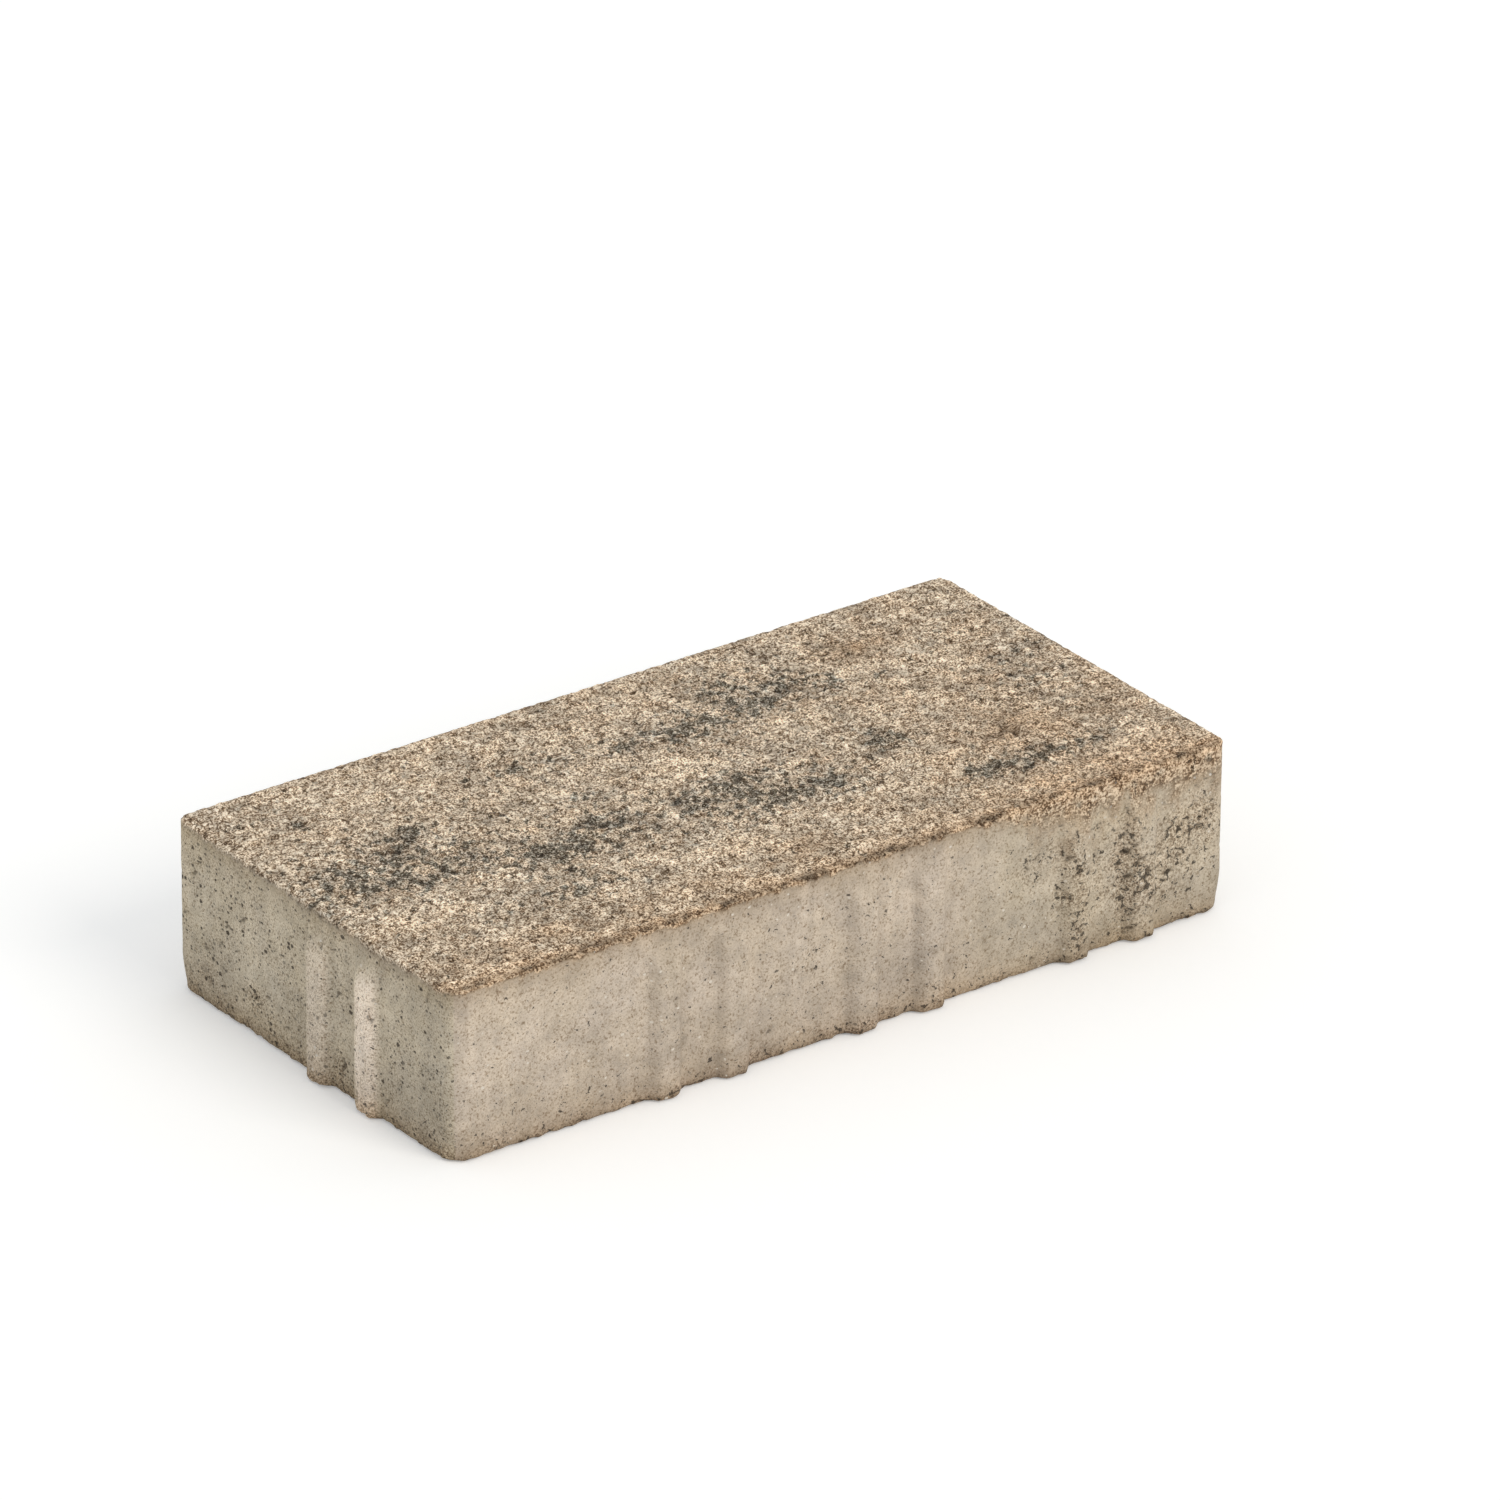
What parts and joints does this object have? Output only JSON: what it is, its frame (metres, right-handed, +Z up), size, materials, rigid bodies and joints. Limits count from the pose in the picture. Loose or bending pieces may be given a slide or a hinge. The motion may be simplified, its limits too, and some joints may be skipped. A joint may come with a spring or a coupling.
{
  "type": "concrete paving stone",
  "caption": "Flat rectangular concrete paver with a granular walking face, a plain bed face and paired upright spacer ribs on its sides that keep the joint to the next stone open.",
  "frame": {"origin": "middle of the bed face, on the ground", "axes": "+X along the length, +Y across the width, +Z up to the walking face"},
  "size_m": [0.3066, 0.1566, 0.06],
  "materials": {
    "concrete": "matte, granular on the walking face"
  },
  "bodies": {
    "root": {"paving_stone": "concrete"}
  },
  "joints": []
}
